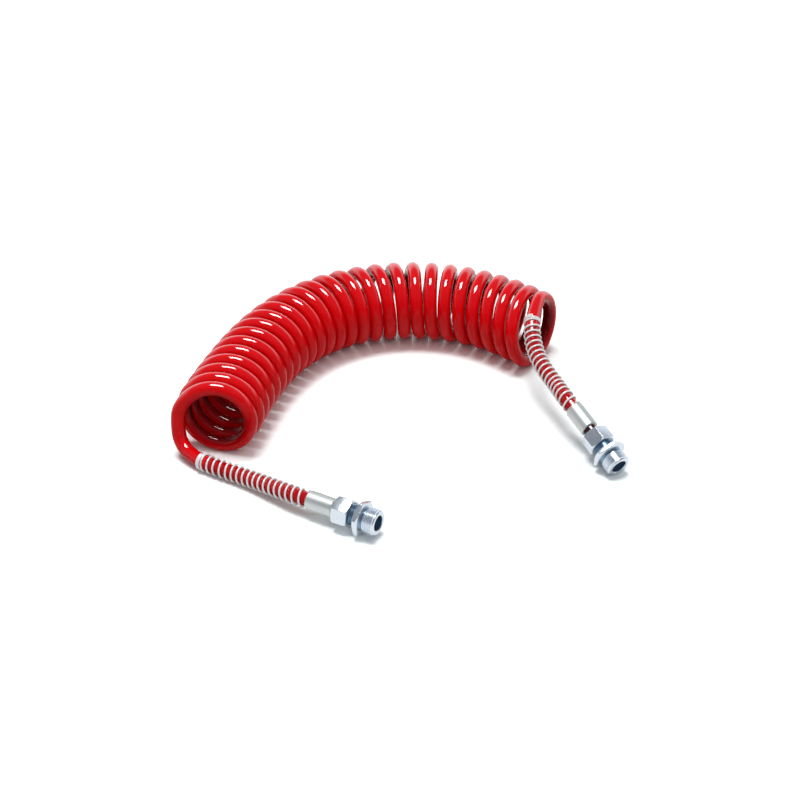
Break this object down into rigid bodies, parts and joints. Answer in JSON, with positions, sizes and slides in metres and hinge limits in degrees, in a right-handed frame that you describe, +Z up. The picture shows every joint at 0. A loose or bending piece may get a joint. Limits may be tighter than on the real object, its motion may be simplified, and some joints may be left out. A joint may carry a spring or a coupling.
{
  "type": "coiled air hose",
  "caption": "Red coiled plastic air hose lying in a bend, each end with a wire spring guard, a sleeve and a zinc-plated screw-in compression fitting with a union nut.",
  "frame": {"origin": "middle of the footprint's bounding box, on the floor under the coil", "axes": "+Z up from the floor, +X along the longest side of the footprint, the coil's bend towards +Y and both fittings towards -Y"},
  "size_m": [0.3868, 0.3674, 0.0708],
  "materials": {
    "red_nylon": "glossy, saturated red",
    "galvanised_wire": "bright drawn zinc-coated wire",
    "galvanised_sleeve": "satin zinc",
    "bright_zinc": "bright bluish zinc plating on machined steel",
    "brass": "machined"
  },
  "bodies": {
    "coil": {"coil": "red_nylon", "front_tail": "red_nylon", "front_guard": "galvanised_wire", "front_sleeve": "galvanised_sleeve", "front_olive": "brass", "front_tube_insert": "brass"},
    "front_nut": {"front_union_nut": "bright_zinc"},
    "front_stud": {"front_stud": "bright_zinc"},
    "rear_end": {"rear_tail": "red_nylon", "rear_guard": "galvanised_wire", "rear_sleeve": "galvanised_sleeve", "rear_olive": "brass", "rear_tube_insert": "brass"},
    "rear_nut": {"rear_union_nut": "bright_zinc"},
    "rear_stud": {"rear_stud": "bright_zinc"}
  },
  "joints": [
    {"name": "front_nut_turn", "type": "hinge", "parent": "coil", "child": "front_nut", "pos_m": [-0.04938, -0.15556, 0.0154], "axis": [-0.866, 0.5, 0], "range_deg": [0, 1205]},
    {"name": "front_stud_back_off", "type": "slide", "parent": "coil", "child": "front_stud", "axis": [0.866, -0.5, 0], "range_m": [0, 0.005]},
    {"name": "coil_stretch", "type": "slide", "parent": "coil", "child": "rear_end", "axis": [0.5195, -0.8545, 0], "range_m": [0, 0.2], "stiffness_N_per_m": 20, "deforming": ["coil"]},
    {"name": "rear_nut_turn", "type": "hinge", "parent": "rear_end", "child": "rear_nut", "pos_m": [0.16541, -0.05738, 0.02262], "axis": [-0.4941, 0.8126, 0.309], "range_deg": [0, 1205]},
    {"name": "rear_stud_back_off", "type": "slide", "parent": "rear_end", "child": "rear_stud", "axis": [0.4941, -0.8126, -0.309], "range_m": [0, 0.005]}
  ],
  "couplings": [
    {"joint": "front_nut_turn", "follows": "front_stud_back_off", "rad_per_m": 4188.8},
    {"joint": "rear_nut_turn", "follows": "rear_stud_back_off", "rad_per_m": 4188.8}
  ]
}
